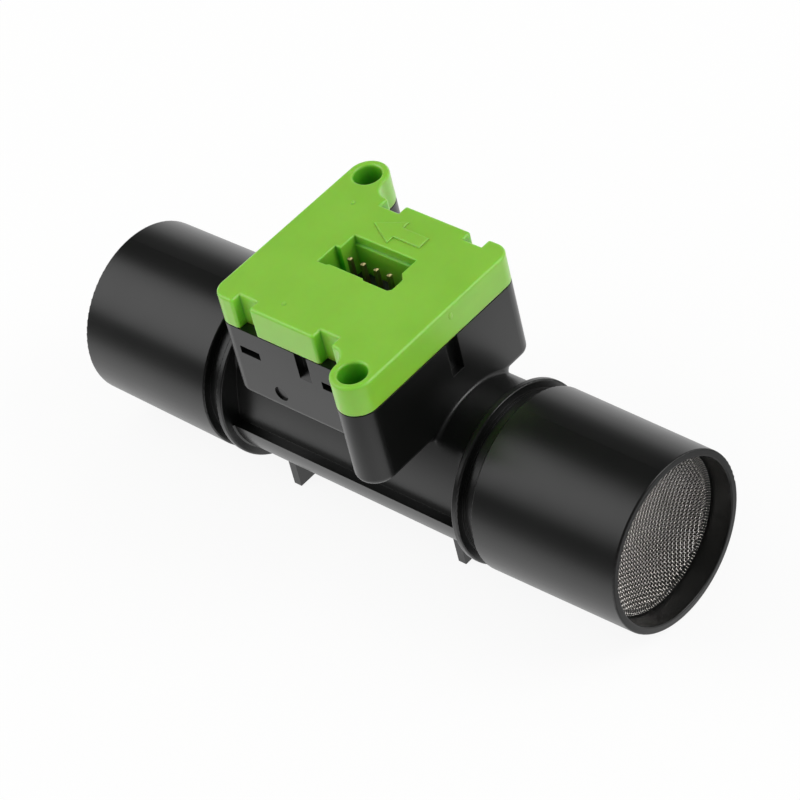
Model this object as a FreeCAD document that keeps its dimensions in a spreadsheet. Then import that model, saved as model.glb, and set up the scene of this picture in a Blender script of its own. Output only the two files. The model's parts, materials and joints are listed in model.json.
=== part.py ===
import FreeCAD, Part
import math
import os
import Sketcher

# Gas flow meter: a straight flow tube with a sensor housing and a connector cap.
# X runs along the flow axis, Z is up, and the feet stand on the plane Z = 0.

# Driving dimensions in millimetres, one cell each
SIZES = {
    # Flow tube with a tapered hose end on each side
    "tube_length": 82.5,
    "cone_mouth_radius": 11.0,
    "cone_taper": 0.0125,
    "mouth_wall": 0.95,
    "screen_recess": 2.9,
    "screen_seat": 0.75,
    "duct_radius": 7.6,
    "duct_wall": 2.55,
    "duct_flare_length": 9.0,
    "flange_offset": 18.0,
    "flange_thickness": 0.85,
    "flange_height": 1.15,
    "flange_ease": 0.2,
    "root_step_length": 0.35,
    "root_step_height": 0.15,
    "groove_length": 2.05,
    "rim_round": 0.2,
    # Slightly bowed sides of the tube, with a ledge below each
    "side_wall": 1.24,
    "ledge_drop": 1.2,
    "bow_radius": 38.0,
    "bow_drop": 6.2,
    # Feet
    "foot_offset": 13.1,
    "foot_thickness": 1.15,
    "foot_half_width": 7.0,
    "foot_reach": 0.1,
    # Sensor housing with two screw ears
    "housing_half_length": 13.3,
    "housing_half_width": 11.27,
    "housing_underside": 7.9,
    "housing_height": 10.7,
    "housing_corner": 2.0,
    "housing_edge_round": 0.9,
    "saddle_round": 0.5,
    "housing_wall": 1.5,
    "ear_radius": 2.65,
    "ear_reach": 2.17,
    "ear_hole_radius": 1.725,
    "pocket_corner": 0.6,
    "floor_thickness": 3.1,
    "board_ledge_width": 1.5,
    "board_ledge_height": 2.0,
    # Clip windows, key slots and the ejector mark in the housing walls
    "window_width": 3.05,
    "window_height": 1.1,
    "window_depth": 1.1,
    "window_drop": 2.75,
    "window_end_gap": 4.22,
    "window_ear_gap": 2.18,
    "key_width": 1.9,
    "key_depth": 1.0,
    "key_height": 3.75,
    "key_ramp": 0.7,
    "key_front_x": 0.45,
    "side_key_width": 2.0,
    "side_key_height": 4.8,
    "side_key_y": 0.75,
    "mark_radius": 1.0,
    "mark_depth": 0.25,
    "mark_end_gap": 7.73,
    "mark_height": 2.6,
    # Connector cap
    "cap_height": 4.3,
    "cap_seam": 0.16,
    "cap_seam_inset": 0.22,
    "cap_edge_round": 0.35,
    "notch_depth": 1.37,
    "notch_round": 0.36,
    "notch_corner_gap": 1.45,
    "notch_corner_width": 2.7,
    "notch_ear_gap": 0.375,
    "notch_ear_width": 2.79,
    "pip_radius": 0.25,
    "pip_height": 0.2,
    "pip_round": 0.17,
    "pip_edge_gap": 2.64,
    "pip_near_x": 3.96,
    "pip_far_x": 8.64,
    "well_back_half": 4.7,
    "well_front_half": 5.5,
    "well_back_depth": 2.93,
    "well_front_depth": 2.63,
    "well_step": 0.4,
    "well_corner": 0.4,
    "well_rib": 0.26,
    "well_rib_left": 4.2,
    "well_rib_right": 1.45,
    "well_edge_round": 0.14,
    "well_lip_drop": 1.2,
    "well_lip": 0.3,
    "shroud_wall": 1.0,
    "skirt_wall": 1.0,
    "cap_roof": 1.8,
    "fit_gap": 0.1,
    "shroud_gap": 0.2,
    # Circuit board and its parts
    "board_thickness": 1.0,
    "pin_pitch": 2.0,
    "pin_side": 0.5,
    "pin_row_y": 1.5,
    "pin_recess": 0.5,
    "pin_tail": 0.8,
    "pin_tip": 0.16,
    "seat_gap": 0.03,
    "header_height": 4.0,
    "header_gap": 0.12,
    "header_bevel": 0.25,
    "sensor_margin": 5.27,
    "sensor_length": 4.0,
    "sensor_width": 2.2,
    "sensor_height": 1.1,
    "controller_margin": 3.8,
    "controller_length": 3.0,
    "controller_width": 3.0,
    "controller_height": 0.85,
    "memory_offset": 4.5,
    "memory_length": 2.0,
    "memory_width": 3.0,
    "memory_height": 0.75,
    "chip_bevel": 0.15,
    "gasket_end_gap": 1.0,
    "gasket_width": 4.8,
    "gasket_wall": 1.0,
    "port_end_gap": 1.3,
    "port_radius": 0.7,
    "capacitor_length": 2.0,
    "capacitor_width": 1.25,
    "capacitor_height": 0.9,
    "resistor_length": 1.6,
    "resistor_width": 0.8,
    "resistor_height": 0.45,
    "terminal_length": 0.35,
    "terminal_step": 0.05,
    "chip_part_margin": 3.2,
    "chip_part_pitch": 3.0,
    # Flow restrictor in the duct
    "restrictor_length": 10.0,
    "restrictor_wall": 0.9,
    "restrictor_slot": 1.0,
    "restrictor_pitch": 1.9,
    "stop_height": 0.5,
    "stop_length": 0.8,
    # Woven screens
    "screen_thickness": 0.35,
    "screen_dish": 2.3,
    "screen_rim": 0.8,
    "screen_pitch": 1.65,
    "screen_wire": 0.45,
    "screen_ridge": 0.12,
    "screen_turn": 16.0,
}
PIN_COUNT = 4
CAPACITOR_COUNT = 3
RESISTOR_COUNT = 2
RESTRICTOR_SLOTS = 7
TOLERANCE = 1e-4

Vec = FreeCAD.Vector
doc = FreeCAD.newDocument("gas_flow_meter")
sheet = doc.addObject("Spreadsheet::Sheet", "Sizes")
for row, (alias, number) in enumerate(SIZES.items(), start=1):
    sheet.set("A%d" % row, alias)
    sheet.set("B%d" % row, str(number))
    sheet.setAlias("B%d" % row, alias)
doc.recompute()


class Size:
    """A length together with the sheet expression that it comes from."""

    def __init__(self, value, text):
        self.value = value
        self.text = text

    def __add__(self, other):
        other = as_size(other)
        return Size(self.value + other.value, "(%s + %s)" % (self.text, other.text))

    def __sub__(self, other):
        other = as_size(other)
        return Size(self.value - other.value, "(%s - %s)" % (self.text, other.text))

    def __mul__(self, other):
        other = as_size(other)
        return Size(self.value * other.value, "(%s * %s)" % (self.text, other.text))

    def __truediv__(self, other):
        other = as_size(other)
        return Size(self.value / other.value, "(%s / %s)" % (self.text, other.text))

    def __neg__(self):
        return Size(-self.value, "(-%s)" % self.text)


def as_size(thing):
    return thing if isinstance(thing, Size) else Size(float(thing), repr(float(thing)))


def cell(alias):
    return Size(float(sheet.get(alias)), "Sizes.%s" % alias)


def root(thing):
    return Size(math.sqrt(thing.value), "sqrt(%s)" % thing.text)


# Sizes worked out from the driving ones, measured from the flow axis
half_tube = cell("tube_length") / 2
mid_radius = cell("duct_radius") + cell("duct_wall")
flange_radius = mid_radius + cell("flange_height")
axis_height = flange_radius + cell("foot_reach")
mouth_bore = cell("cone_mouth_radius") - cell("mouth_wall")
screen_back = half_tube - cell("screen_recess") - cell("screen_thickness")
flange_outer = cell("flange_offset") + cell("flange_thickness")
cone_root = flange_outer + cell("groove_length")
cone_root_radius = cell("cone_mouth_radius") + cell("cone_taper") * (half_tube - cone_root)
ear_x = cell("housing_half_length") - cell("ear_radius")
ear_y = cell("housing_half_width") + cell("ear_reach")
ear_root = ear_x - cell("ear_radius") - cell("ear_reach")
housing_top = cell("housing_underside") + cell("housing_height")
cap_top = housing_top + cell("cap_height")
floor_top = cell("housing_underside") + cell("floor_thickness")
board_bottom = floor_top + cell("board_ledge_height")
board_top = board_bottom + cell("board_thickness")
pocket_half_length = cell("housing_half_length") - cell("housing_wall")
pocket_half_width = cell("housing_half_width") - cell("housing_wall")
sensor_y = cell("sensor_margin") - pocket_half_width
controller_y = cell("controller_margin") - pocket_half_width
gasket_half_length = pocket_half_length - cell("board_ledge_width") - cell("gasket_end_gap")
port_x = gasket_half_length - cell("gasket_wall") - cell("port_end_gap")
well_back = cell("pin_row_y") + cell("well_back_depth")
well_front = cell("pin_row_y") - cell("well_front_depth")
restrictor_radius = cell("duct_radius") - cell("seat_gap")
half_restrictor = cell("restrictor_length") / 2


def origin_part(body, role):
    return [part for part in body.Origin.OriginFeatures if part.Role == role][0]


def new_body(label):
    body = doc.addObject("PartDesign::Body", label)
    body.Label = label
    body.setExpression("Placement.Base.z", axis_height.text)
    return body


def new_sketch(body, name, role, offset=0):
    sketch = body.newObject("Sketcher::SketchObject", name)
    sketch.AttachmentSupport = [(origin_part(body, role), "")]
    sketch.MapMode = "FlatFace"
    sketch.setExpression("AttachmentOffset.Base.z", as_size(offset).text)
    return sketch


def fix(sketch, kind, geometry, point, distance):
    """Ties one coordinate of a sketch point to the sheet."""
    index = sketch.addConstraint(Sketcher.Constraint(kind, -1, 1, geometry, point, distance.value))
    sketch.setExpression("Constraints[%d]" % index, distance.text)


def arc_between(begin, end, centre, turn):
    """Arc about a centre, anticlockwise where turn is positive."""
    first, last = (begin, end) if turn > 0 else (end, begin)
    circle = Part.Circle(centre, Vec(0, 0, 1), begin.distanceToPoint(centre))
    start = math.atan2(first.y - centre.y, first.x - centre.x)
    stop = math.atan2(last.y - centre.y, last.x - centre.x)
    return Part.ArcOfCircle(circle, start, stop)


def trace(sketch, steps):
    """Closed outline: (x, y) is a line to a point, (x, y, cx, cy, turn) an arc to it."""
    steps = [tuple(as_size(number) for number in step) for step in steps]
    points = [Vec(step[0].value, step[1].value, 0) for step in steps]
    runs = []
    for index, step in enumerate(steps):
        begin, end = points[index - 1], points[index]
        if len(step) == 2:
            runs.append((sketch.addGeometry(Part.LineSegment(begin, end)), 1, 2))
            continue
        turn = step[4].value
        centre = Vec(step[2].value, step[3].value, 0)
        geometry = sketch.addGeometry(arc_between(begin, end, centre, turn))
        runs.append((geometry, 1, 2) if turn > 0 else (geometry, 2, 1))
    for index, (geometry, start, stop) in enumerate(runs):
        before = runs[index - 1]
        sketch.addConstraint(Sketcher.Constraint("Coincident", before[0], before[2], geometry, start))
    for (geometry, start, stop), step in zip(runs, steps):
        fix(sketch, "DistanceX", geometry, stop, step[0])
        fix(sketch, "DistanceY", geometry, stop, step[1])
    for index, step in enumerate(steps):
        if len(step) == 5:
            chord = points[index] - points[index - 1]
            if abs(chord.y) > abs(chord.x):
                fix(sketch, "DistanceX", runs[index][0], 3, step[2])
            else:
                fix(sketch, "DistanceY", runs[index][0], 3, step[3])


def ring(sketch, x, y, radius):
    x, y, radius = as_size(x), as_size(y), as_size(radius)
    circle = Part.Circle(Vec(x.value, y.value, 0), Vec(0, 0, 1), radius.value)
    geometry = sketch.addGeometry(circle)
    fix(sketch, "DistanceX", geometry, 3, x)
    fix(sketch, "DistanceY", geometry, 3, y)
    index = sketch.addConstraint(Sketcher.Constraint("Radius", geometry, radius.value))
    sketch.setExpression("Constraints[%d]" % index, radius.text)


def rectangle(sketch, left, right, low, high):
    trace(sketch, [(left, low), (right, low), (right, high), (left, high)])


def rounded_rectangle(sketch, half_x, half_y, corner, middle_y=0):
    middle_y = as_size(middle_y)
    inner_x = half_x - corner
    low, high = middle_y - half_y, middle_y + half_y
    inner_low, inner_high = low + corner, high - corner
    trace(sketch, [
        (inner_x, low),
        (half_x, inner_low, inner_x, inner_low, 1),
        (half_x, inner_high),
        (inner_x, high, inner_x, inner_high, 1),
        (-inner_x, high),
        (-half_x, inner_high, -inner_x, inner_high, 1),
        (-half_x, inner_low),
        (-inner_x, low, -inner_x, inner_low, 1),
    ])


def extrude(body, kind, name, sketch, length=None, symmetric=False, reverse=False):
    """Pad or Pocket of a sketch, through everything where no length is given."""
    feature = body.newObject("PartDesign::" + kind, name)
    feature.Profile = sketch
    if length is None:
        feature.Type = "ThroughAll"
    else:
        feature.setExpression("Length", as_size(length).text)
    if symmetric:
        feature.SideType = "Symmetric"
    feature.Reversed = reverse
    body.Tip = feature
    return feature


def revolve(body, kind, name, sketch):
    """Revolution or Groove of a sketch about the flow axis."""
    feature = body.newObject("PartDesign::" + kind, name)
    feature.Profile = sketch
    feature.ReferenceAxis = (sketch, ["H_Axis"])
    feature.Angle = 360
    body.Tip = feature
    return feature


def repeat(body, name, originals):
    """A second copy half a turn about the vertical axis."""
    feature = body.newObject("PartDesign::PolarPattern", name)
    feature.Originals = originals
    feature.Axis = (origin_part(body, "Z_Axis"), [""])
    feature.Angle = 360
    feature.Occurrences = 2
    body.Tip = feature
    return feature


def ease(body, kind, name, radius, wanted):
    """Fillet or Chamfer on the edges of the tip that a test picks out."""
    doc.recompute()
    base = body.Tip
    names = ["Edge%d" % number for number, edge in enumerate(base.Shape.Edges, start=1) if wanted(edge)]
    feature = body.newObject("PartDesign::" + kind, name)
    feature.Base = (base, names)
    feature.setExpression("Radius" if kind == "Fillet" else "Size", radius.text)
    body.Tip = feature
    return feature


def at_height(edge, level):
    box = edge.BoundBox
    return abs(box.ZMin - level.value) < TOLERANCE and abs(box.ZMax - level.value) < TOLERANCE


def mirrored_profile(half):
    """Both halves of a profile about X = 0, closed along the flow axis."""
    left = [(-x, radius) for x, radius in reversed(half)]
    return [(left[0][0], 0)] + left + half + [(half[-1][0], 0)]


def ear_outline(sketch, inset=0):
    """Plan of housing and cap: rounded box with one screw ear at each of two opposite corners."""
    half_x = cell("housing_half_length") - inset
    half_y = cell("housing_half_width") - inset
    corner = cell("housing_corner") - inset
    bulge = cell("ear_radius") - inset
    hollow = cell("ear_reach") + inset
    flank = ear_x - bulge
    half = [
        (flank - hollow, -half_y),
        (flank, -ear_y, flank - hollow, -ear_y, -1),
        (half_x, -ear_y, ear_x, -ear_y, 1),
        (half_x, half_y - corner),
        (half_x - corner, half_y, half_x - corner, half_y - corner, 1),
    ]
    turned = [tuple(-as_size(number) for number in step[:4]) + tuple(step[4:]) for step in half]
    trace(sketch, half + turned)


def flow_body():
    body = new_body("flow_body")
    underside = cell("housing_underside")

    # Housing block with rounded lower edge
    plan = new_sketch(body, "housing_plan", "XY_Plane", underside)
    ear_outline(plan)
    extrude(body, "Pad", "housing_block", plan, cell("housing_height"))
    ease(body, "Fillet", "housing_edge", cell("housing_edge_round"), lambda edge: at_height(edge, underside))

    # Tube with flanges and tapered hose ends
    profile = new_sketch(body, "tube_profile", "XZ_Plane")
    step_radius = mid_radius + cell("root_step_height")
    step_end = flange_outer + cell("root_step_length")
    trace(profile, mirrored_profile([
        (cell("flange_offset") - cell("flange_ease"), mid_radius),
        (cell("flange_offset"), mid_radius + cell("flange_ease")),
        (cell("flange_offset"), flange_radius),
        (flange_outer, flange_radius),
        (flange_outer, step_radius),
        (step_end, step_radius),
        (step_end, mid_radius),
        (cone_root, mid_radius),
        (cone_root, cone_root_radius),
        (half_tube, cell("cone_mouth_radius")),
    ]))
    revolve(body, "Revolution", "tube", profile)

    # Fillet where the housing sits astride the tube
    def on_saddle(edge):
        low, high = edge.BoundBox.ZMin, edge.BoundBox.ZMax
        middle = edge.valueAt((edge.FirstParameter + edge.LastParameter) / 2)
        on_tube = abs(math.hypot(middle.y, middle.z) - mid_radius.value) < TOLERANCE
        inside = abs(middle.x) < cell("housing_half_length").value + TOLERANCE
        return on_tube and inside and low > underside.value - TOLERANCE and high < housing_top.value

    ease(body, "Fillet", "saddle", cell("saddle_round"), on_saddle)

    # Bowed walls on both sides of the tube, between the flanges and above a ledge
    sides = new_sketch(body, "side_walls", "YZ_Plane")
    ledge = -cell("ledge_drop")
    bow, bow_z = cell("bow_radius"), -cell("bow_drop")
    foot_rise, head_rise = ledge - bow_z, underside - bow_z
    foot_y = cell("duct_radius") + cell("side_wall")
    bow_y = foot_y - root(bow * bow - foot_rise * foot_rise)
    head_y = bow_y + root(bow * bow - head_rise * head_rise)
    outside = flange_radius + cell("flange_height")
    for side in (1, -1):
        trace(sides, [
            (outside * side, ledge),
            (outside * side, underside),
            (head_y * side, underside),
            (foot_y * side, ledge, bow_y * side, bow_z, -side),
        ])
    extrude(body, "Pocket", "side_cut", sides, cell("flange_offset") * 2, symmetric=True)

    # Two cross feet that reach up into the wall of the tube
    feet = new_sketch(body, "foot_plan", "XY_Plane", -axis_height)
    for side in (1, -1):
        near = cell("foot_offset") * side - cell("foot_thickness") / 2
        far = near + cell("foot_thickness")
        rectangle(feet, near, far, -cell("foot_half_width"), cell("foot_half_width"))
    foot_top = -cell("duct_radius") / 2
    extrude(body, "Pad", "feet", feet, axis_height + foot_top)

    # Duct with screen seats at both mouths and a stop for the restrictor
    duct = new_sketch(body, "duct_profile", "XZ_Plane")
    seat_radius = mouth_bore - cell("screen_seat")
    flare_end = screen_back - cell("duct_flare_length")
    stop_radius = cell("duct_radius") - cell("stop_height")
    stop_far = -half_restrictor - cell("stop_length")
    inlet = [
        (flare_end, cell("duct_radius")),
        (screen_back, seat_radius),
        (screen_back, mouth_bore),
        (half_tube, mouth_bore),
    ]
    outlet = [(-x, radius) for x, radius in reversed(inlet)]
    stop = [
        (stop_far, cell("duct_radius")),
        (stop_far, stop_radius),
        (-half_restrictor, stop_radius),
        (-half_restrictor, cell("duct_radius")),
    ]
    trace(duct, [(-half_tube, 0)] + outlet + stop + inlet + [(half_tube, 0)])
    revolve(body, "Groove", "duct", duct)

    # Board pocket, open at the top, with a ledge that carries the board
    pocket = new_sketch(body, "pocket_plan", "XY_Plane", board_bottom)
    rounded_rectangle(pocket, pocket_half_length, pocket_half_width, cell("pocket_corner"))
    extrude(body, "Pocket", "board_pocket", pocket, housing_top - board_bottom, reverse=True)
    well = new_sketch(body, "sensor_plan", "XY_Plane", floor_top)
    ledge_width = cell("board_ledge_width")
    rounded_rectangle(well, pocket_half_length - ledge_width, pocket_half_width - ledge_width,
                      cell("pocket_corner"))
    extrude(body, "Pocket", "sensor_pocket", well, cell("board_ledge_height"), reverse=True)

    # Two ports from the duct up to the sensor
    ports = new_sketch(body, "port_plan", "XY_Plane", floor_top)
    for side in (1, -1):
        ring(ports, port_x * side, sensor_y, cell("port_radius"))
    extrude(body, "Pocket", "ports", ports, floor_top)

    # Screw holes through both ears
    holes = new_sketch(body, "ear_holes_plan", "XY_Plane", housing_top)
    for side in (1, -1):
        ring(holes, ear_x * side, -ear_y * side, cell("ear_hole_radius"))
    extrude(body, "Pocket", "ear_holes", holes, cell("housing_height"))

    # Clip windows and ejector mark in the front wall, key slots in front and side walls
    half_y = cell("housing_half_width")
    windows = new_sketch(body, "window_plan", "XZ_Plane", half_y)
    window_top = housing_top - cell("window_drop")
    half_window = cell("window_width") / 2
    for middle in (cell("window_end_gap") - cell("housing_half_length"), ear_root - cell("window_ear_gap")):
        rectangle(windows, middle - half_window, middle + half_window,
                  window_top - cell("window_height"), window_top)
    window_cut = extrude(body, "Pocket", "windows", windows, cell("window_depth"))

    mark = new_sketch(body, "mark_plan", "XZ_Plane", half_y)
    mark_x = cell("mark_end_gap") - cell("housing_half_length")
    mark_z = underside + cell("mark_height")
    ring(mark, mark_x, mark_z, cell("mark_radius"))
    mark_cut = extrude(body, "Pocket", "ejector_mark", mark, cell("mark_depth"))

    key_low = housing_top - cell("key_height")
    front_key = new_sketch(body, "front_key_plan", "YZ_Plane", -cell("key_front_x"))
    trace(front_key, [
        (-half_y, key_low),
        (-half_y + cell("key_depth"), key_low + cell("key_ramp")),
        (-half_y + cell("key_depth"), housing_top),
        (-half_y, housing_top),
    ])
    front_cut = extrude(body, "Pocket", "front_key", front_key, cell("key_width"), symmetric=True)
    half_x = cell("housing_half_length")
    side_key = new_sketch(body, "side_key_plan", "XZ_Plane", cell("side_key_y"))
    side_key_low = housing_top - cell("side_key_height")
    rectangle(side_key, half_x - cell("key_depth"), half_x, side_key_low, housing_top)
    side_cut = extrude(body, "Pocket", "side_key", side_key, cell("side_key_width"), symmetric=True)
    repeat(body, "wall_cuts", [window_cut, mark_cut, front_cut, side_cut])

    # Rounded rims of mouths, cones and flanges
    rims = [
        (half_tube, cell("cone_mouth_radius")),
        (half_tube, mouth_bore),
        (cone_root, cone_root_radius),
        (cell("flange_offset"), flange_radius),
        (flange_outer, flange_radius),
    ]

    def on_rim(edge):
        if not isinstance(edge.Curve, Part.Circle):
            return False
        place, radius = abs(edge.Curve.Center.x), edge.Curve.Radius
        return any(abs(place - x.value) + abs(radius - r.value) < TOLERANCE for x, r in rims)

    ease(body, "Fillet", "rims", cell("rim_round"), on_rim)
    return body


def connector_cap():
    body = new_body("connector_cap")
    seam_top = housing_top + cell("cap_seam")

    # Plate over a set-back seam that leaves a thin shadow line on the housing
    seam = new_sketch(body, "seam_plan", "XY_Plane", housing_top)
    ear_outline(seam, cell("cap_seam_inset"))
    extrude(body, "Pad", "seam_step", seam, cell("cap_seam"))
    plan = new_sketch(body, "cap_plan", "XY_Plane", seam_top)
    ear_outline(plan)
    extrude(body, "Pad", "cap_plate", plan, cell("cap_height") - cell("cap_seam"))

    # Clip notches in the front and back edges
    notches = new_sketch(body, "notch_plan", "XY_Plane", cap_top)
    half_y = cell("housing_half_width")
    deep = half_y - cell("notch_depth")
    corner_start = cell("housing_corner") - cell("housing_half_length") + cell("notch_corner_gap")
    ear_end = ear_root - cell("notch_ear_gap")
    notch_sides = [(corner_start, corner_start + cell("notch_corner_width")),
                   (ear_end - cell("notch_ear_width"), ear_end)]
    for side in (1, -1):
        for left, right in notch_sides:
            rectangle(notches, left * side, right * side, -ear_y * side, -deep * side)
    extrude(body, "Pocket", "notches", notches)

    def on_notch_edge(edge):
        box = edge.BoundBox
        upright = box.XLength + box.YLength < TOLERANCE
        at_front = abs(abs(box.YMin) - half_y.value) < TOLERANCE
        return upright and at_front and any(
            abs(abs(box.XMin) - abs(x.value)) < TOLERANCE for sides in notch_sides for x in sides)

    ease(body, "Fillet", "notch_edges", cell("notch_round"), on_notch_edge)

    # Skirt that clamps the board, and shroud of the connector well
    skirt = new_sketch(body, "skirt_plan", "XY_Plane", board_top)
    skirt_x = pocket_half_length - cell("fit_gap")
    skirt_y = pocket_half_width - cell("fit_gap")
    rounded_rectangle(skirt, skirt_x, skirt_y, cell("pocket_corner"))
    rounded_rectangle(skirt, skirt_x - cell("skirt_wall"), skirt_y - cell("skirt_wall"),
                      cell("pocket_corner"))
    extrude(body, "Pad", "skirt", skirt, housing_top - board_top)
    wall = cell("shroud_wall")
    shroud_low = board_top + cell("shroud_gap")
    shroud = new_sketch(body, "shroud_plan", "XY_Plane", shroud_low)
    rectangle(shroud, -cell("well_front_half") - wall, cell("well_front_half") + wall,
              well_front - wall, well_back + wall)
    extrude(body, "Pad", "shroud", shroud, housing_top - shroud_low)

    # Hollow under the roof, between skirt and shroud
    core = new_sketch(body, "core_plan", "XY_Plane", housing_top)
    rounded_rectangle(core, skirt_x - cell("skirt_wall"), skirt_y - cell("skirt_wall"), cell("pocket_corner"))
    rectangle(core, -cell("well_front_half") - wall, cell("well_front_half") + wall,
              well_front - wall, well_back + wall)
    extrude(body, "Pocket", "cap_core", core, cell("cap_height") - cell("cap_roof"), reverse=True)

    # Stepped connector well with a keying rib and one sloped shoulder, and screw holes
    well = new_sketch(body, "well_plan", "XY_Plane", cap_top)
    step_y = cell("pin_row_y") + cell("well_step")
    wide, narrow = cell("well_front_half"), cell("well_back_half")
    rib, corner = cell("well_rib"), cell("well_corner")
    trace(well, [
        (-wide, well_front),
        (-cell("well_rib_left"), well_front),
        (-cell("well_rib_left") + rib, well_front + rib),
        (cell("well_rib_right") - rib, well_front + rib),
        (cell("well_rib_right"), well_front),
        (wide - corner, well_front),
        (wide, well_front + corner),
        (wide, step_y - wide + narrow),
        (narrow, step_y),
        (narrow, well_back),
        (-narrow, well_back),
        (-narrow, step_y),
        (-wide, step_y),
    ])
    extrude(body, "Pocket", "connector_well", well)
    lip = new_sketch(body, "lip_plan", "XY_Plane", shroud_low)
    rectangle(lip, -narrow, narrow, well_back - cell("well_lip"), well_back)
    extrude(body, "Pad", "well_lip", lip, cap_top - cell("well_lip_drop") - shroud_low)
    holes = new_sketch(body, "cap_holes_plan", "XY_Plane", cap_top)
    for side in (1, -1):
        ring(holes, ear_x * side, -ear_y * side, cell("ear_hole_radius"))
    extrude(body, "Pocket", "cap_holes", holes)

    # Soft top edges, with a smaller radius round the well
    def on_well_edge(edge):
        box = edge.BoundBox
        within = abs(box.XMin) < wide.value + TOLERANCE and abs(box.XMax) < wide.value + TOLERANCE
        return (within and at_height(edge, cap_top) and box.YMin > well_front.value - TOLERANCE
                and box.YMax < well_back.value + TOLERANCE)

    ease(body, "Fillet", "top_edges", cell("cap_edge_round"),
         lambda edge: at_height(edge, cap_top) and not on_well_edge(edge))
    ease(body, "Fillet", "well_edges", cell("well_edge_round"), on_well_edge)

    # Two small moulding pips on the top
    pips = new_sketch(body, "pip_plan", "XY_Plane", cap_top)
    pip_y = half_y - cell("pip_edge_gap")
    ring(pips, -cell("pip_near_x"), -pip_y, cell("pip_radius"))
    ring(pips, -cell("pip_far_x"), pip_y, cell("pip_radius"))
    extrude(body, "Pad", "pips", pips, cell("pip_height"))
    ease(body, "Fillet", "pip_edges", cell("pip_round"),
         lambda edge: at_height(edge, cap_top + cell("pip_height")))
    return body


def circuit_board():
    body = new_body("circuit_board")
    plan = new_sketch(body, "board_plan", "XY_Plane", board_bottom)
    rounded_rectangle(plan, pocket_half_length - cell("fit_gap"), pocket_half_width - cell("fit_gap"),
                      cell("pocket_corner"))
    for x in pin_places():
        pin_hole(plan, x)
    extrude(body, "Pad", "board", plan, cell("board_thickness"))
    return body


def pin_places():
    middle = (PIN_COUNT - 1) / 2
    return [cell("pin_pitch") * (number - middle) for number in range(PIN_COUNT)]


def pin_hole(sketch, x):
    reach = cell("pin_side") / 2 + cell("seat_gap")
    rectangle(sketch, x - reach, x + reach, cell("pin_row_y") - reach, cell("pin_row_y") + reach)


def pin_header():
    """Block at the bottom of the well that holds the pins."""
    body = new_body("pin_header")
    plan = new_sketch(body, "header_plan", "XY_Plane", board_top)
    gap = cell("header_gap")
    half_x = cell("well_back_half") - gap
    rectangle(plan, -half_x, half_x, well_front + cell("well_rib") + gap, well_back - cell("well_lip") - gap)
    for x in pin_places():
        pin_hole(plan, x)
    extrude(body, "Pad", "header_block", plan, cell("header_height"))
    top = board_top + cell("header_height")

    def on_top_rim(edge):
        return at_height(edge, top) and edge.Length > cell("pin_pitch").value

    ease(body, "Chamfer", "header_rim", cell("header_bevel"), on_top_rim)
    return body


def contact_pin(number, x):
    body = new_body("contact_pin_%d" % number)
    low = board_bottom - cell("pin_tail")
    high = cap_top - cell("pin_recess")
    plan = new_sketch(body, "pin_plan", "XY_Plane", low)
    half = cell("pin_side") / 2
    rectangle(plan, x - half, x + half, cell("pin_row_y") - half, cell("pin_row_y") + half)
    extrude(body, "Pad", "pin", plan, high - low)
    ease(body, "Chamfer", "pin_point", cell("pin_tip"), lambda edge: at_height(edge, high))
    return body


def chip_package(kind, x, y, under_board=False):
    """Moulded chip on or under the board, with bevels round its free face."""
    body = new_body(kind + "_chip")
    height = cell(kind + "_height")
    low = board_bottom - height if under_board else board_top
    free_face = low if under_board else low + height
    plan = new_sketch(body, "chip_plan", "XY_Plane", low)
    half_x, half_y = cell(kind + "_length") / 2, cell(kind + "_width") / 2
    rectangle(plan, x - half_x, x + half_x, y - half_y, y + half_y)
    extrude(body, "Pad", "chip", plan, height)
    ease(body, "Chamfer", "chip_edges", cell("chip_bevel"), lambda edge: at_height(edge, free_face))
    return body


def sensor_gasket():
    body = new_body("sensor_gasket")
    plan = new_sketch(body, "gasket_plan", "XY_Plane", floor_top)
    half_y = cell("gasket_width") / 2
    wall = cell("gasket_wall")
    stadium(plan, gasket_half_length, half_y)
    stadium(plan, gasket_half_length - wall, half_y - wall)
    extrude(body, "Pad", "gasket", plan, cell("board_ledge_height"))
    return body


def stadium(sketch, half_x, half_y):
    straight = half_x - half_y
    low, high = sensor_y - half_y, sensor_y + half_y
    trace(sketch, [
        (straight, low),
        (straight, high, straight, sensor_y, 1),
        (-straight, high),
        (-straight, low, -straight, sensor_y, 1),
    ])


def chip_part(label, kind, x, y):
    """Small surface part with a metal terminal at each end."""
    body = new_body(label)
    plan = new_sketch(body, "part_plan", "XY_Plane", board_top)
    half_x, half_y = cell(kind + "_width") / 2, cell(kind + "_length") / 2
    step = cell("terminal_step")
    shoulder = half_y - cell("terminal_length")
    right = [(half_x, -half_y), (half_x, -shoulder), (half_x - step, -shoulder)]
    right += [(across, -along) for across, along in reversed(right)]
    left = [(-across, -along) for across, along in right]
    trace(plan, [(x + across, y + along) for across, along in right + left])
    extrude(body, "Pad", "part", plan, cell(kind + "_height"))
    return body


def flow_restrictor():
    body = new_body("flow_restrictor")
    disc = new_sketch(body, "disc_plan", "YZ_Plane")
    ring(disc, 0, 0, restrictor_radius)
    extrude(body, "Pad", "disc", disc, cell("restrictor_length"), symmetric=True)
    slots = new_sketch(body, "slot_plan", "YZ_Plane")
    inside = restrictor_radius - cell("restrictor_wall")
    half_slot = cell("restrictor_slot") / 2
    for number in range(RESTRICTOR_SLOTS):
        step = number - (RESTRICTOR_SLOTS - 1) / 2
        middle = cell("restrictor_pitch") * step
        outermost = cell("restrictor_pitch") * abs(step) + half_slot
        half_y = root(inside * inside - outermost * outermost)
        rectangle(slots, -half_y, half_y, middle - half_slot, middle + half_slot)
    extrude(body, "Pocket", "slots", slots, cell("restrictor_length"), symmetric=True)
    return body


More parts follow.
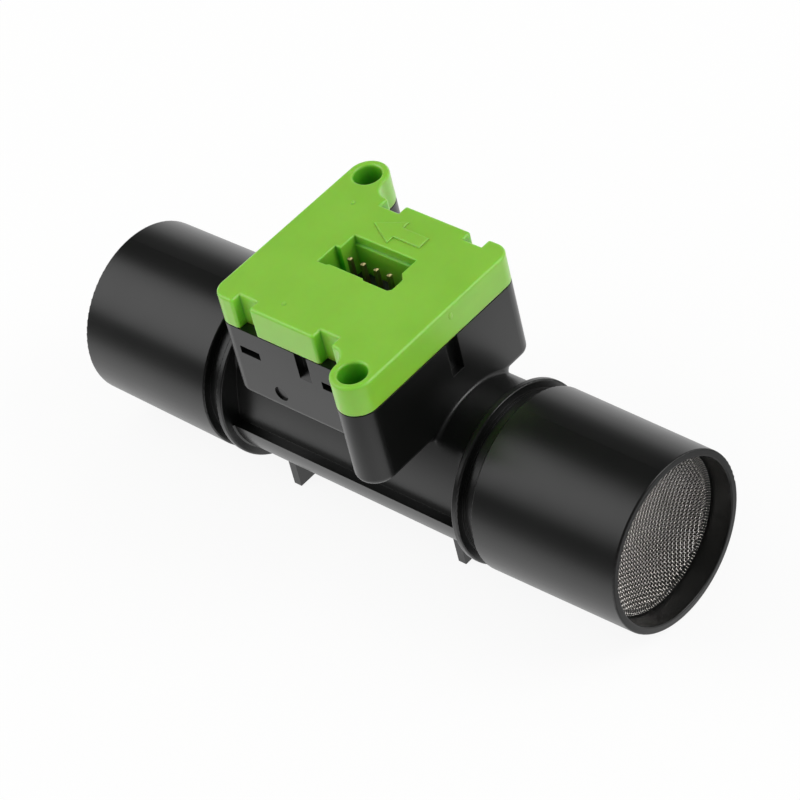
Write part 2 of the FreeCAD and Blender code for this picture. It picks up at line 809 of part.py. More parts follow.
def screen(label, side):
    """Dished disc with square gaps between wires that stand proud on one face each."""
    radius = (mouth_bore - cell("seat_gap")).value
    thickness = cell("screen_thickness").value
    ridge = cell("screen_ridge").value
    pitch = cell("screen_pitch").value
    dish = cell("screen_dish").value
    gap = pitch - cell("screen_wire").value
    half_gap = gap / 2
    open_radius = radius - cell("screen_rim").value
    back = screen_back.value
    front = back + thickness
    bowl = (open_radius ** 2 + dish ** 2) / (2 * dish)

    def bowl_arc(edge_x):
        half_rise = bowl - math.sqrt(bowl ** 2 - (open_radius / 2) ** 2)
        middle = Vec(edge_x - dish + half_rise, 0, open_radius / 2)
        return Part.Arc(Vec(edge_x - dish, 0, 0), middle, Vec(edge_x, 0, open_radius)).toShape()

    def bowl_layer(inner, outer, with_rim=False):
        """Layer between two like bowls, with or without the flat rim."""
        rim = [Vec(inner, 0, radius), Vec(outer, 0, radius)] if with_rim else []
        ends = [Vec(inner, 0, open_radius)] + rim + [Vec(outer, 0, open_radius)]
        lines = [Part.makeLine(begin, end) for begin, end in zip(ends, ends[1:])]
        closing = Part.makeLine(Vec(outer - dish, 0, 0), Vec(inner - dish, 0, 0))
        outline = Part.Wire(Part.__sortEdges__([bowl_arc(inner)] + lines + [bowl_arc(outer), closing]))
        return Part.Face(outline).revolve(Vec(0, 0, 0), Vec(1, 0, 0), 360)

    reach = int(open_radius / pitch) + 1
    places = [pitch * number + pitch / 2 for number in range(-reach, reach)]
    past = thickness
    low = back - dish - past
    length = front + past - low
    gaps = []
    upright_strips = []
    level_strips = []
    for y in places:
        upright_strips.append(Part.makeBox(length, gap, 2 * radius, Vec(low, y - half_gap, -radius)))
        level_strips.append(Part.makeBox(length, 2 * radius, gap, Vec(low, -radius, y - half_gap)))
        for z in places:
            if math.hypot(abs(y) + half_gap, abs(z) + half_gap) < open_radius:
                gaps.append(Part.makeBox(length, gap, gap, Vec(low, y - half_gap, z - half_gap)))
    back_grooves = bowl_layer(back - past, back + ridge).common(Part.makeCompound(upright_strips))
    front_grooves = bowl_layer(front - ridge, front + past).common(Part.makeCompound(level_strips))
    disc = bowl_layer(back, front, with_rim=True).cut(Part.makeCompound(gaps))
    feature = doc.addObject("Part::Feature", label)
    feature.Label = label
    feature.Shape = disc.cut(back_grooves).cut(front_grooves)
    facing = FreeCAD.Rotation(Vec(0, 0, 1), 0 if side > 0 else 180)
    turn = FreeCAD.Rotation(Vec(1, 0, 0), cell("screen_turn").value)
    feature.Placement = FreeCAD.Placement(Vec(0, 0, axis_height.value), facing * turn)
    return feature


def build():
    parts = [
        flow_body(),
        connector_cap(),
        screen("inlet_screen", 1),
        screen("outlet_screen", -1),
        flow_restrictor(),
        sensor_gasket(),
        circuit_board(),
        chip_package("sensor", as_size(0), sensor_y, under_board=True),
        chip_package("controller", as_size(0), controller_y),
        chip_package("memory", cell("memory_offset"), controller_y),
        pin_header(),
    ]
    for number, x in enumerate(pin_places(), start=1):
        parts.append(contact_pin(number, x))
    for kind, count, side in (("capacitor", CAPACITOR_COUNT, -1), ("resistor", RESISTOR_COUNT, 1)):
        for number in range(count):
            x = (pocket_half_length - cell("chip_part_margin")) * side
            y = cell("chip_part_pitch") * (number - (count - 1) / 2)
            parts.append(chip_part("%s_%d" % (kind, number + 1), kind, x, y))
    doc.recompute()
    return parts


def check(parts):
    for item in doc.Objects:
        if "Invalid" in item.State or "Error" in item.State:
            raise RuntimeError("%s failed: %s" % (item.Label, item.State))
    for part in parts:
        if part.Shape.isNull() or not part.Shape.isValid() or len(part.Shape.Solids) != 1:
            raise RuntimeError("%s has no single valid solid" % part.Label)


def main():
    parts = build()
    check(parts)
    os.makedirs("parts", exist_ok=True)
    for part in parts:
        part.Shape.exportStep(os.path.join("parts", part.Label + ".step"))
        print("%-18s %9.3f mm3" % (part.Label, part.Shape.Volume))


main()
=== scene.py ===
import bmesh
import bpy
import json
import math
import numpy as np
from mathutils import Matrix, Vector


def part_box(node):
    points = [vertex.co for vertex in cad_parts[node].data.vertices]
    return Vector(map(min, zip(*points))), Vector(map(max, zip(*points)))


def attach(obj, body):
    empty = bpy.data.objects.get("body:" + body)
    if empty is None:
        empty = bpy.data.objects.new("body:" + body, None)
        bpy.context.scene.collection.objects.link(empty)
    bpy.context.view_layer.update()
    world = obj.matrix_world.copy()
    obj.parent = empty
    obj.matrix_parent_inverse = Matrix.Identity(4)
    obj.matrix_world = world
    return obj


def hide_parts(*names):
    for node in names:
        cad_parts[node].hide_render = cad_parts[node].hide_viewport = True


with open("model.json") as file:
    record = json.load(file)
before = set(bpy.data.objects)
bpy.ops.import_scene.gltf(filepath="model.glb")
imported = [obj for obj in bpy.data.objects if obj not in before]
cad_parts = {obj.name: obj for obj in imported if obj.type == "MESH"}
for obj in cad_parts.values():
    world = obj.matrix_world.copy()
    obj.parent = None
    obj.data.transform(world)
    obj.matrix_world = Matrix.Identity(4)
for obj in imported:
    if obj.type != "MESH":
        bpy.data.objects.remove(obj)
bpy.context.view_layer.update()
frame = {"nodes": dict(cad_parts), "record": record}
nodes = frame["nodes"]
mm = 0.001
axisHeight = 11.4 * mm  # flow axis above the floor
slowDetail = 2.0  # finer steps of noise in slow changes of a surface
fineDetail = 3.0  # and in its grain
tintSpread = (0.35, 0.65)  # part of the noise over which one tint turns into the other
cornerRays = 6  # rays that soften an edge in the shading
scene = bpy.context.scene
print("frame loaded:", len(nodes), "CAD nodes")


def linearColour(code):
    # sRGB hex such as "82bc44" to the linear values that shaders use
    steps = [int(code[i:i + 2], 16) / 255 for i in (0, 2, 4)]
    return [s / 12.92 if s <= 0.04045 else ((s + 0.055) / 1.055) ** 2.4 for s in steps] + [1.0]


def addNode(tree, kind, settings=None, links=None):
    # sockets go by name, or by number where a node has several of one name
    node = tree.nodes.new(kind)
    for name, value in (settings or {}).items():
        if isinstance(name, int) or name in node.inputs:
            node.inputs[name].default_value = value
        else:
            setattr(node, name, value)
    for name, source in (links or {}).items():
        tree.links.new(source, node.inputs[name])
    return node


def newMaterial(name):
    material = bpy.data.materials.new(name)
    material.use_nodes = True
    material.node_tree.nodes.clear()
    return material, material.node_tree


def fillRamp(node, stops):
    # each stop is a place on the ramp with an sRGB hex, or with a linear level of grey
    elements = node.color_ramp.elements
    while len(elements) < len(stops):
        elements.new(0.5)
    for element, (place, shade) in zip(elements, stops):
        element.position = place
        element.color = linearColour(shade) if isinstance(shade, str) else (shade, shade, shade, 1.0)


def blackBody():
    # ABS, injection moulded in a fine-eroded tool: deep black, satin, with soft wide reflections
    look = {
        "colour": "090a09",
        "ior": 1.57,
        "gloss": (0.27, 0.36),
        "grain": 0.3 * mm,  # real grain is about 0.05 mm; drawn coarser so that it shows
        "grainHeight": 0.0012 * mm,
        "sink": 9 * mm,  # slow waves left by shrinkage
        "sinkHeight": 0.006 * mm,
        "edge": 0.05 * mm,  # radius that worn tool corners leave
        "runOut": 2.2 * mm,  # the far softer edge where the side walls run out into the tube
        "runOutPlace": (15.6 * mm, 6.7 * mm, 18.4 * mm),  # its middle, the same on all four quarters
        "runOutReach": (1.4 * mm, 2.8 * mm),  # it begins to fade this far from there, and is gone this far
    }
    material, tree = newMaterial("blackAbsSatinMoulded")
    place = addNode(tree, "ShaderNodeTexCoord")
    waves = addNode(tree, "ShaderNodeTexNoise", {"Scale": 1 / look["sink"], "Detail": slowDetail},
                    {"Vector": place.outputs["Object"]})
    grain = addNode(tree, "ShaderNodeTexNoise", {"Scale": 1 / look["grain"], "Detail": fineDetail},
                    {"Vector": place.outputs["Object"]})
    quarter = addNode(tree, "ShaderNodeVectorMath", {"operation": "ABSOLUTE"}, {0: place.outputs["Object"]})
    away = addNode(tree, "ShaderNodeVectorMath", {"operation": "DISTANCE", 1: look["runOutPlace"]},
                   {0: quarter.outputs["Vector"]})
    edge = addNode(tree, "ShaderNodeMapRange", {
        "From Min": look["runOutReach"][0],
        "From Max": look["runOutReach"][1],
        "To Min": look["runOut"],
        "To Max": look["edge"],
    }, {"Value": away.outputs["Value"]})
    corners = addNode(tree, "ShaderNodeBevel", {"samples": cornerRays}, {"Radius": edge.outputs["Result"]})
    waveBump = addNode(tree, "ShaderNodeBump", {"Distance": look["sinkHeight"]},
                       {"Height": waves.outputs["Fac"], "Normal": corners.outputs["Normal"]})
    grainBump = addNode(tree, "ShaderNodeBump", {"Distance": look["grainHeight"]},
                        {"Height": grain.outputs["Fac"], "Normal": waveBump.outputs["Normal"]})
    gloss = addNode(tree, "ShaderNodeMapRange", {"To Min": look["gloss"][0], "To Max": look["gloss"][1]},
                    {"Value": waves.outputs["Fac"]})
    shader = addNode(tree, "ShaderNodeBsdfPrincipled",
                     {"Base Color": linearColour(look["colour"]), "IOR": look["ior"]},
                     {"Roughness": gloss.outputs["Result"], "Normal": grainBump.outputs["Normal"]})
    addNode(tree, "ShaderNodeOutputMaterial", None, {"Surface": shader.outputs["BSDF"]})
    return material


def greenCap(name, glow):
    # ABS coloured in the mass, injection moulded: even leaf green, satin, a little light passes its edges
    look = {
        "colours": ("84bf33", "89c438"),
        "ior": 1.57,
        "gloss": (0.34, 0.42),
        "skin": 0.6,  # the smooth outer skin of the moulding
        "glowDepth": 0.9 * mm,
        "glowReach": (0.2, 1.0, 0.05),  # shares of that depth for red, green and blue
        "cloud": 6 * mm,  # slow change of tint along the flow of the melt
        # painted shade: holes and corners are tinted deeper green by how open they are, standing in for light
        # passed to and fro until only its green is left: openness and tint
        "hollow": [(0.15, "50de50"), (0.75, "ffffff")],
        "hollowReach": 6 * mm,
        "hollowRays": 8,
        "grain": 0.3 * mm,  # real grain is about 0.05 mm; drawn coarser so that it shows
        "grainHeight": 0.0015 * mm,
        "edge": 0.35 * mm,  # rounder tool corners than the body's
    }
    material, tree = newMaterial(name)
    place = addNode(tree, "ShaderNodeTexCoord")
    cloud = addNode(tree, "ShaderNodeTexNoise", {"Scale": 1 / look["cloud"], "Detail": fineDetail},
                    {"Vector": place.outputs["Object"]})
    tint = addNode(tree, "ShaderNodeValToRGB", None, {"Fac": cloud.outputs["Fac"]})
    fillRamp(tint, [*zip(tintSpread, look["colours"])])
    # painted shade: ambient occlusion takes red and blue out of the green in holes and corners
    openness = addNode(tree, "ShaderNodeAmbientOcclusion",
                       {"Distance": look["hollowReach"], "only_local": True, "samples": look["hollowRays"]})
    hollow = addNode(tree, "ShaderNodeValToRGB", None, {"Fac": openness.outputs["AO"]})
    fillRamp(hollow, look["hollow"])
    hollowShadeTinted = addNode(tree, "ShaderNodeVectorMath", {"operation": "MULTIPLY"},
                       {0: tint.outputs["Color"], 1: hollow.outputs["Color"]})
    grain = addNode(tree, "ShaderNodeTexNoise", {"Scale": 1 / look["grain"], "Detail": fineDetail},
                    {"Vector": place.outputs["Object"]})
    corners = addNode(tree, "ShaderNodeBevel", {"samples": cornerRays, "Radius": look["edge"]})
    bump = addNode(tree, "ShaderNodeBump", {"Distance": look["grainHeight"]},
                   {"Height": grain.outputs["Fac"], "Normal": corners.outputs["Normal"]})
    gloss = addNode(tree, "ShaderNodeMapRange", {"To Min": look["gloss"][0], "To Max": look["gloss"][1]},
                    {"Value": cloud.outputs["Fac"]})
    shader = addNode(tree, "ShaderNodeBsdfPrincipled", {
        "IOR": look["ior"],
        "Coat Weight": look["skin"],
        "Coat Roughness": look["gloss"][0],
        "Subsurface Weight": glow,
        "Subsurface Radius": look["glowReach"],
        "Subsurface Scale": look["glowDepth"],
    }, {
        "Base Color": hollowShadeTinted.outputs["Vector"],
        "Roughness": gloss.outputs["Result"],
        "Normal": bump.outputs["Normal"],
    })
    addNode(tree, "ShaderNodeOutputMaterial", None, {"Surface": shader.outputs["BSDF"]})
    return material


def steelWire():
    # stainless steel, cold drawn to wire and annealed before weaving: neutral grey, bright on each crown
    look = {
        "colours": ("e9e6e1", "f3f0ec"),
        "gloss": (0.1, 0.18),
        "patch": 6 * mm,  # slow change of tint from the annealing
        "patchDetail": 4.0,
        "drawLines": 0.05 * mm,  # real ones are about 0.002 mm; drawn coarser so that the gloss changes
    }
    material, tree = newMaterial("stainlessWireDrawnWoven")
    place = addNode(tree, "ShaderNodeTexCoord")
    patch = addNode(tree, "ShaderNodeTexNoise", {"Scale": 1 / look["patch"], "Detail": look["patchDetail"]},
                    {"Vector": place.outputs["Object"]})
    tint = addNode(tree, "ShaderNodeValToRGB", None, {"Fac": patch.outputs["Fac"]})
    fillRamp(tint, [*zip(tintSpread, look["colours"])])
    lines = addNode(tree, "ShaderNodeTexNoise", {"Scale": 1 / look["drawLines"], "Detail": slowDetail},
                    {"Vector": place.outputs["Object"]})
    gloss = addNode(tree, "ShaderNodeMapRange", {"To Min": look["gloss"][0], "To Max": look["gloss"][1]},
                    {"Value": lines.outputs["Fac"]})
    shader = addNode(tree, "ShaderNodeBsdfPrincipled", {"Metallic": 1.0},
                     {"Base Color": tint.outputs["Color"], "Roughness": gloss.outputs["Result"]})
    addNode(tree, "ShaderNodeOutputMaterial", None, {"Surface": shader.outputs["BSDF"]})
    return material


def goldContact():
    # brass pin, flash plated with gold after stamping: warm yellow with faint stamping lines along the pin
    look = {
        "colours": ("7c744f", "928a62"),
        "spread": (0.3, 0.7),
        "gloss": (0.32, 0.44),
        "lines": 0.08 * mm,  # real ones are about 0.02 mm; drawn coarser so that they show
        "stretch": (1.0, 1.0, 0.08),  # draws the lines out along the pin
    }
    material, tree = newMaterial("brassPinGoldPlated")
    place = addNode(tree, "ShaderNodeTexCoord")
    alongPin = addNode(tree, "ShaderNodeMapping", {"Scale": look["stretch"]},
                       {"Vector": place.outputs["Object"]})
    lines = addNode(tree, "ShaderNodeTexNoise", {"Scale": 1 / look["lines"], "Detail": slowDetail},
                    {"Vector": alongPin.outputs["Vector"]})
    tint = addNode(tree, "ShaderNodeValToRGB", None, {"Fac": lines.outputs["Fac"]})
    fillRamp(tint, [*zip(look["spread"], look["colours"])])
    gloss = addNode(tree, "ShaderNodeMapRange", {"To Min": look["gloss"][0], "To Max": look["gloss"][1]},
                    {"Value": lines.outputs["Fac"]})
    shader = addNode(tree, "ShaderNodeBsdfPrincipled", {"Metallic": 1.0},
                     {"Base Color": tint.outputs["Color"], "Roughness": gloss.outputs["Result"]})
    addNode(tree, "ShaderNodeOutputMaterial", None, {"Surface": shader.outputs["BSDF"]})
    return material


# Finishes of the inner pieces; moulded and fired grain is drawn coarser than it is, so that it shows
insideLooks = {
    # POM coloured black, moulded: dark and waxy
    "duct_plastic": {"name": "pomWaxyMoulded", "colours": ("141414", "191919"),
                     "gloss": 0.45, "speck": 1.5 * mm, "speckHeight": 0.001 * mm},
    # silicone, press moulded: dull black with a faint bloom
    "gasket_rubber": {"name": "siliconePressMoulded", "colours": ("1b1b1b", "242424"),
                      "gloss": 0.75, "speck": 0.4 * mm, "speckHeight": 0.003 * mm},
    # glass laminate under solder lacquer: dark green, glossy, with the weave showing as faint mottling
    "board_laminate": {"name": "glassLaminateLacquered", "colours": ("10371f", "174a29"),
                       "gloss": 0.25, "speck": 0.5 * mm, "speckHeight": 0.002 * mm},
    # epoxy, transfer moulded: charcoal with a fine matt spark-eroded grain
    "chip_package": {"name": "epoxyTransferMoulded", "colours": ("17181a", "202124"),
                     "gloss": 0.6, "speck": 0.15 * mm, "speckHeight": 0.002 * mm},
    # PA66, moulded: plain matt black
    "header_plastic": {"name": "nylonMattMoulded", "colours": ("0f0f10", "161617"),
                       "gloss": 0.5, "speck": 0.3 * mm, "speckHeight": 0.001 * mm},
    # barium titanate, fired: biscuit brown
    "chip_ceramic": {"name": "titanateFired", "colours": ("8d6f4c", "a07f58"),
                     "gloss": 0.5, "speck": 0.2 * mm, "speckHeight": 0.001 * mm},
}


def plainInside(look):
    # shared build of the simple finishes inside the housing: two close tints in specks of a real size
    material, tree = newMaterial(look["name"])
    place = addNode(tree, "ShaderNodeTexCoord")
    specks = addNode(tree, "ShaderNodeTexNoise", {"Scale": 1 / look["speck"], "Detail": fineDetail},
                     {"Vector": place.outputs["Object"]})
    tint = addNode(tree, "ShaderNodeValToRGB", None, {"Fac": specks.outputs["Fac"]})
    fillRamp(tint, [*zip(tintSpread, look["colours"])])
    bump = addNode(tree, "ShaderNodeBump", {"Distance": look["speckHeight"]},
                   {"Height": specks.outputs["Fac"]})
    shader = addNode(tree, "ShaderNodeBsdfPrincipled", {"Roughness": look["gloss"]},
                     {"Base Color": tint.outputs["Color"], "Normal": bump.outputs["Normal"]})
    addNode(tree, "ShaderNodeOutputMaterial", None, {"Surface": shader.outputs["BSDF"]})
    return material


materials = {
    "black_plastic": blackBody(),
    "green_plastic": greenCap("greenAbsSatinMoulded", glow=0.8),
    "steel_wire": steelWire(),
    "contact_metal": goldContact(),
}
for slot, look in insideLooks.items():
    materials[slot] = plainInside(look)
for part in frame["record"]["subparts"]:
    data = nodes[part["node"]].data
    data.materials.clear()
    data.materials.append(materials[part["material_slot"]])


def addPiece(name, mesh, slot, material=None):
    piece = bpy.data.objects.new(name, mesh)
    scene.collection.objects.link(piece)
    mesh.materials.append(material or materials[slot])
    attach(piece, "root")
    return piece


# Woven screens: plain weave of round wire, pressed to a shallow dish; its cut ends stand up round the rim
weave = {
    "pitch": (0.36 * mm, 0.374 * mm),  # across each of the two sets of wires
    "turn": (math.radians(17.9), math.radians(102.8)),  # which way each pitch runs; pressing skews the square
    "wire": 0.11 * mm,
    "sides": 5,
    "stepsPerPitch": 4,
    "plate": 0.35 * mm,  # thickness of the flat rim of the CAD disc
    "dish": 2.3 * mm,
    "dishRadius": 9.22 * mm,
    "ends": 168,
    # path of each cut end in mm, as radius and height above the middle of the rim
    "endPath": [(9.0, -0.27), (9.35, -0.2), (9.62, -0.12), (9.74, -0.02), (9.81, 0.08), (9.86, 0.18)],
}


def fieldStrands(bowl):
    # one run of points per wire, bent over its neighbours and laid in the bowl; x is depth from the rim
    crown = weave["wire"] / 2
    arc = bowl * math.asin(weave["dishRadius"] / bowl)
    leastReach = 1e-9  # a point in the very middle has no way outward
    for family in (0, 1):
        pitch, crossPitch = weave["pitch"][family], weave["pitch"][1 - family]
        across = np.array([math.cos(weave["turn"][family]), math.sin(weave["turn"][family])])
        along = np.array([-across[1], across[0]])
        crossTurn = weave["turn"][1 - family]
        crossWay = np.array([math.cos(crossTurn), math.sin(crossTurn)])
        count = int(arc / pitch)
        for number in range(-count, count):
            offset = (number + 0.5) * pitch
            half = math.sqrt(max(arc ** 2 - offset ** 2, 0))
            steps = int(2 * half / pitch * weave["stepsPerPitch"])
            if steps < weave["stepsPerPitch"]:
                continue
            flat = offset * across + np.linspace(-half, half, steps + 1)[:, None] * along
            over = 1 if (number + family) % 2 == 0 else -1
            lift = over * crown * np.sin(math.pi * (flat @ crossWay) / crossPitch)
            reach = np.maximum(np.linalg.norm(flat, axis=1), leastReach)
            lean = reach / bowl
            outward = flat / reach[:, None]
            depth = bowl * (1 - np.cos(lean)) - weave["dish"] + lift * np.cos(lean)
            radius = bowl * np.sin(lean) - lift * np.sin(lean)
            yield np.column_stack([depth, outward * radius[:, None]])


def endStrands():
    path = np.array(weave["endPath"]) * mm
    for turn in np.linspace(0, 2 * math.pi, weave["ends"], endpoint=False):
        yield np.column_stack([path[:, 1], path[:, 0] * math.cos(turn), path[:, 0] * math.sin(turn)])


def tubeRings(points):
    # rings of a round wire along a run of points
    tangent = np.gradient(points, axis=0)
    tangent /= np.linalg.norm(tangent, axis=1)[:, None]
    sideways = np.cross(tangent, (1.0, 0.0, 0.0))
    sideways /= np.linalg.norm(sideways, axis=1)[:, None]
    upward = np.cross(sideways, tangent)
    turns = np.linspace(0, 2 * math.pi, weave["sides"], endpoint=False)
    radius = weave["wire"] / 2
    rings = [points + radius * (math.cos(t) * sideways + math.sin(t) * upward) for t in turns]
    return np.stack(rings, axis=1).reshape(-1, 3)


def wovenScreen(name, node, side):
    low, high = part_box(node)
    rim = max(abs(low.x), abs(high.x)) - weave["plate"] / 2
    bowl = (weave["dishRadius"] ** 2 + weave["dish"] ** 2) / (2 * weave["dish"])
    sides = weave["sides"]
    verts, faces = [], []
    for points in [*fieldStrands(bowl), *endStrands()]:
        first, count = len(verts), len(points)
        verts.extend(tubeRings(points).tolist())
        for row in range(count - 1):
            for column in range(sides):
                here = first + row * sides + column
                beside = first + row * sides + (column + 1) % sides
                faces.append((here, beside, beside + sides, here + sides))
        faces.append(tuple(first + column for column in reversed(range(sides))))
        faces.append(tuple(first + (count - 1) * sides + column for column in range(sides)))
    mesh = bpy.data.meshes.new(name)
    mesh.from_pydata(verts, [], faces)
    facing = Matrix.Rotation(0 if side > 0 else math.pi, 4, "Z")
    mesh.transform(Matrix.Translation((0, 0, axisHeight)) @ facing @ Matrix.Translation((rim, 0, 0)))
    cleaner = bmesh.new()
    cleaner.from_mesh(mesh)
    bmesh.ops.recalc_face_normals(cleaner, faces=cleaner.faces)
    cleaner.to_mesh(mesh)
    cleaner.free()
    mesh.shade_smooth()
    piece = addPiece(name, mesh, "steel_wire")
    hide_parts(node)
    print(name, "woven:", len(mesh.polygons), "faces")


wovenScreen("inletWeave", "inlet_screen", 1)
wovenScreen("outletWeave", "outlet_screen", -1)


# Flow arrow: raised on the cap, pointing from inlet to outlet
arrow = {
    # outline in mm
    "tip": (-3.93, 7.05),
    "barbX": -0.25,
    "barbHalf": 2.04,
    "shaftHalf": 0.9,
    "tailX": 3.7,
    "height": 0.2 * mm,
    "root": 0.1 * mm,  # depth of its foot inside the cap
    "edge": 0.1 * mm,
    "edgeSteps": 3,
    "edgeRound": 0.5,
    "flatFrom": 10 * mm,  # farther out than this no pip stands on the flat top of the cap
}


def capTop():
    spots = [v.co for v in nodes["connector_cap"].data.vertices if abs(v.co.x) > arrow["flatFrom"]]
    return max(spot.z for spot in spots)


def flowArrow():
    tipX, middle = arrow["tip"]
    half, barb = arrow["shaftHalf"], arrow["barbHalf"]
    outline = [
        (tipX, middle),
        (arrow["barbX"], middle - barb),
        (arrow["barbX"], middle - half),
        (arrow["tailX"], middle - half),
        (arrow["tailX"], middle + half),
        (arrow["barbX"], middle + half),
        (arrow["barbX"], middle + barb),
    ]
    foot = capTop() - arrow["root"]
    build = bmesh.new()
    base = build.faces.new([build.verts.new((x * mm, y * mm, foot)) for x, y in outline])
    grown = bmesh.ops.extrude_face_region(build, geom=[base])
    lifted = [item for item in grown["geom"] if isinstance(item, bmesh.types.BMVert)]
    bmesh.ops.translate(build, verts=lifted, vec=(0, 0, arrow["root"] + arrow["height"]))
    rim = [e for e in build.edges if all(v in lifted for v in e.verts)]
    bmesh.ops.bevel(build, geom=rim, offset=arrow["edge"], segments=arrow["edgeSteps"],
                    profile=arrow["edgeRound"], affect="EDGES")
    bmesh.ops.recalc_face_normals(build, faces=build.faces)
    mesh = bpy.data.meshes.new("flowArrow")
    build.to_mesh(mesh)
    build.free()
    addPiece("flowArrow", mesh, "green_plastic")
    print("flow arrow raised by", round(arrow["height"] / mm, 2), "mm")


flowArrow()


# Gate mark: the low trimmed stub where the melt entered the cap, on its inlet side
gate = {
    "across": 0.0,
    "height": 33.05 * mm,
    "half": (0.04 * mm, 0.34 * mm, 0.5 * mm),
    "foot": 0.02 * mm,  # how far its shell goes on inside the cap
    "rings": 16,
    "lookFrom": 1.0,  # in metres, well outside the cap
}


def gateMark():
    start = Vector((gate["lookFrom"], gate["across"], gate["height"]))
    struck, spot, _, _ = nodes["connector_cap"].ray_cast(start, Vector((-1, 0, 0)))
    assert struck, "the gate lies beside the cap"
    build = bmesh.new()
    bmesh.ops.create_uvsphere(build, u_segments=2 * gate["rings"], v_segments=gate["rings"], radius=1.0)
    bmesh.ops.scale(build, verts=build.verts, vec=gate["half"])
    hidden = [v for v in build.verts if v.co.x < -gate["foot"]]
    bmesh.ops.delete(build, geom=hidden, context="VERTS")
    bmesh.ops.translate(build, verts=build.verts, vec=spot)
    mesh = bpy.data.meshes.new("gateMark")
    build.to_mesh(mesh)
    build.free()
    mesh.shade_smooth()
    # the same plastic without the glow, which a shell this thin would swallow
    addPiece("gateMark", mesh, "green_plastic", greenCap("greenAbsSatinTrimmed", glow=0.0))
    print("gate mark at x", round(spot.x / mm, 2), "mm")


gateMark()


# Studio: pale floor, one large softbox on the left, one on the right, and a dim room
studio = {
    "floorColour": "f2f2f0",
    "floorSize": 6.0,  # metres
    # degrees round and above the object, metres and watts
    "boxes": [
        {"azimuth": -147, "elevation": 38, "distance": 0.9, "size": 0.8, "power": 3.2},
        {"azimuth": 30, "elevation": 37, "distance": 0.9, "size": 0.5, "power": 3.0},
    ],
    "aim": (0, 0, 0.015),
    # light from the room on dull surfaces, from the horizon up to the ceiling
    "fill": [(0.0, 1.0), (0.4, 0.8), (1.0, 0.52)],
    # what gloss shows of the room, in the same order but leaning back to where the sweep rises
    "room": [(0.0, 0.85), (0.08, 0.3), (0.22, 0.1), (0.5, 0.07), (1.0, 0.06)],
    "roomUp": (0.0, -0.3, 1.0),
    "floorShown": 0.9,  # share of plain white in what the camera sees of the floor; the rest keeps the shadow
    "floorMirrored": 0.8,  # the same share in what gloss shows of it
    # painted shade: gloss shows the floor dimmer towards the front, where it runs out into the room: depth
    # and brightness
    "floorFrontPaintedShade": [(-0.07, 0.2), (-0.028, 1.05)],
    # and a painted shadow of the tube, dimming the floor to the right of the inlet
    "floorRightPaintedShadow": [(0.04, 1.0), (0.05, 0.4)],
}


def seenRay(tree, path):
    # 1 for what is seen directly or through something clear
    return addNode(tree, "ShaderNodeMath", {"operation": "MAXIMUM"},
                   {0: path.outputs["Is Camera Ray"], 1: path.outputs["Is Transmission Ray"]})


def studioFloor():
    half = studio["floorSize"] / 2
    corners = [(-half, -half, 0), (half, -half, 0), (half, half, 0), (-half, half, 0)]
    mesh = bpy.data.meshes.new("floor")
    mesh.from_pydata(corners, [], [(0, 1, 2, 3)])
    floor = bpy.data.objects.new("floor", mesh)
    scene.collection.objects.link(floor)
    material, tree = newMaterial("paperSweepMatt")
    paint = addNode(tree, "ShaderNodeBsdfDiffuse", {"Color": linearColour(studio["floorColour"])})
    white = addNode(tree, "ShaderNodeEmission", {"Strength": 1.0})
    place = addNode(tree, "ShaderNodeTexCoord")
    axes = addNode(tree, "ShaderNodeSeparateXYZ", None, {"Vector": place.outputs["Object"]})
    # painted shade and painted shadow on the floor, faded in by position and seen only in gloss
    fades = []
    for name, axis in (("floorFrontPaintedShade", "Y"), ("floorRightPaintedShadow", "X")):
        (firstPlace, firstLevel), (lastPlace, lastLevel) = studio[name]
        fades.append(addNode(tree, "ShaderNodeMapRange", {
            "From Min": firstPlace,
            "From Max": lastPlace,
            "To Min": firstLevel,
            "To Max": lastLevel,
        }, {"Value": axes.outputs[axis]}))
    paintedFloorShade = addNode(tree, "ShaderNodeMath", {"operation": "MULTIPLY"},
                   {number: node.outputs["Result"] for number, node in enumerate(fades)})
    dimPaint = addNode(tree, "ShaderNodeBsdfDiffuse", None, {"Color": paintedFloorShade.outputs["Value"]})
    dimWhite = addNode(tree, "ShaderNodeEmission", None, {"Strength": paintedFloorShade.outputs["Value"]})
    mirrored = addNode(tree, "ShaderNodeMixShader", {"Fac": studio["floorMirrored"]},
                       {1: dimPaint.outputs["BSDF"], 2: dimWhite.outputs["Emission"]})
    path = addNode(tree, "ShaderNodeLightPath")
    gloss = addNode(tree, "ShaderNodeMixShader", None, {
        "Fac": path.outputs["Is Glossy Ray"],
        1: paint.outputs["BSDF"],
        2: mirrored.outputs["Shader"],
    })
    shown = addNode(tree, "ShaderNodeMath", {"operation": "MULTIPLY", 1: studio["floorShown"]},
                    {0: seenRay(tree, path).outputs["Value"]})
    both = addNode(tree, "ShaderNodeMixShader", None, {
        "Fac": shown.outputs["Value"],
        1: gloss.outputs["Shader"],
        2: white.outputs["Emission"],
    })
    addNode(tree, "ShaderNodeOutputMaterial", None, {"Surface": both.outputs["Shader"]})
    mesh.materials.append(material)


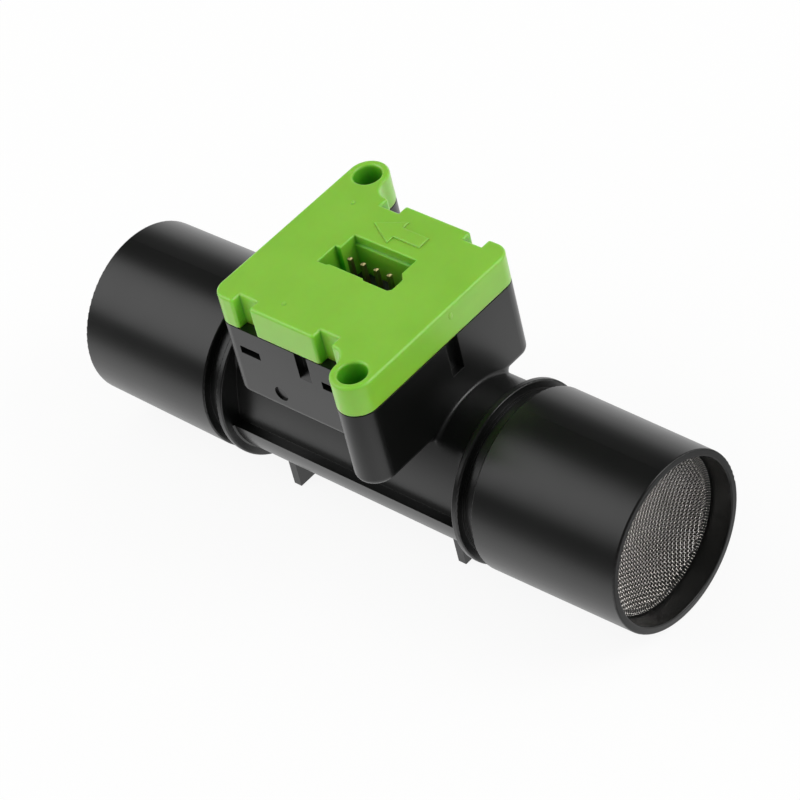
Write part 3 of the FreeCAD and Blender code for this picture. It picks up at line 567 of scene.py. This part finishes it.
def studioRoom():
    world = bpy.data.worlds.new("whiteStudio")
    scene.world = world
    world.use_nodes = True
    tree = world.node_tree
    tree.nodes.clear()
    path = addNode(tree, "ShaderNodeLightPath")
    place = addNode(tree, "ShaderNodeTexCoord")
    axes = addNode(tree, "ShaderNodeSeparateXYZ", None, {"Vector": place.outputs["Generated"]})
    dull = addNode(tree, "ShaderNodeValToRGB", None, {"Fac": axes.outputs["Z"]})
    fillRamp(dull, studio["fill"])
    lean = addNode(tree, "ShaderNodeVectorMath", {"operation": "DOT_PRODUCT", 1: studio["roomUp"]},
                   {0: place.outputs["Generated"]})
    shiny = addNode(tree, "ShaderNodeValToRGB", None, {"Fac": lean.outputs["Value"]})
    fillRamp(shiny, studio["room"])
    fill = addNode(tree, "ShaderNodeBackground", None, {"Color": dull.outputs["Color"]})
    room = addNode(tree, "ShaderNodeBackground", None, {"Color": shiny.outputs["Color"]})
    white = addNode(tree, "ShaderNodeBackground", {"Color": (1, 1, 1, 1)})
    gloss = addNode(tree, "ShaderNodeMixShader", None, {
        "Fac": path.outputs["Is Glossy Ray"],
        1: fill.outputs["Background"],
        2: room.outputs["Background"],
    })
    both = addNode(tree, "ShaderNodeMixShader", None, {
        "Fac": seenRay(tree, path).outputs["Value"],
        1: gloss.outputs["Shader"],
        2: white.outputs["Background"],
    })
    addNode(tree, "ShaderNodeOutputWorld", None, {"Surface": both.outputs["Shader"]})


def softboxes():
    for number, box in enumerate(studio["boxes"], start=1):
        lamp = bpy.data.lights.new("softbox%d" % number, "AREA")
        lamp.shape = "SQUARE"
        lamp.size = box["size"]
        lamp.energy = box["power"]
        turn, rise = math.radians(box["azimuth"]), math.radians(box["elevation"])
        outward = Vector((math.cos(rise) * math.cos(turn), math.cos(rise) * math.sin(turn), math.sin(rise)))
        light = bpy.data.objects.new(lamp.name, lamp)
        light.location = Vector(studio["aim"]) + outward * box["distance"]
        light.rotation_euler = outward.to_track_quat("Z", "Y").to_euler()
        light.visible_camera = False
        scene.collection.objects.link(light)


studioFloor()
studioRoom()
softboxes()
print("studio lit by", len(studio["boxes"]), "softboxes")


# Camera: long lens from the front right, rolled as in the photograph
view = {
    "place": (243.563, -199.107, 290.345),  # mm
    "look": (-0.58058, 0.47667, -0.66008),
    "up": (-0.33250, 0.60121, 0.72662),
    "focalPixels": 3596.26,
    "framePixels": 800,
    "sensor": 36.0,
    "nearest": 0.01,  # metres; nearer than this nothing is drawn
}


def photoCamera():
    lens = bpy.data.cameras.new("photoCamera")
    lens.sensor_width = view["sensor"]
    lens.lens = view["focalPixels"] / view["framePixels"] * view["sensor"]
    lens.clip_start = view["nearest"]
    camera = bpy.data.objects.new("photoCamera", lens)
    backward = -Vector(view["look"]).normalized()
    right = Vector(view["up"]).cross(backward).normalized()
    upward = backward.cross(right)
    turn = Matrix((right, upward, backward)).transposed().to_4x4()
    camera.matrix_world = Matrix.Translation(Vector(view["place"]) * mm) @ turn
    scene.collection.objects.link(camera)
    scene.camera = camera


photoCamera()
scene.view_settings.view_transform = "Standard"
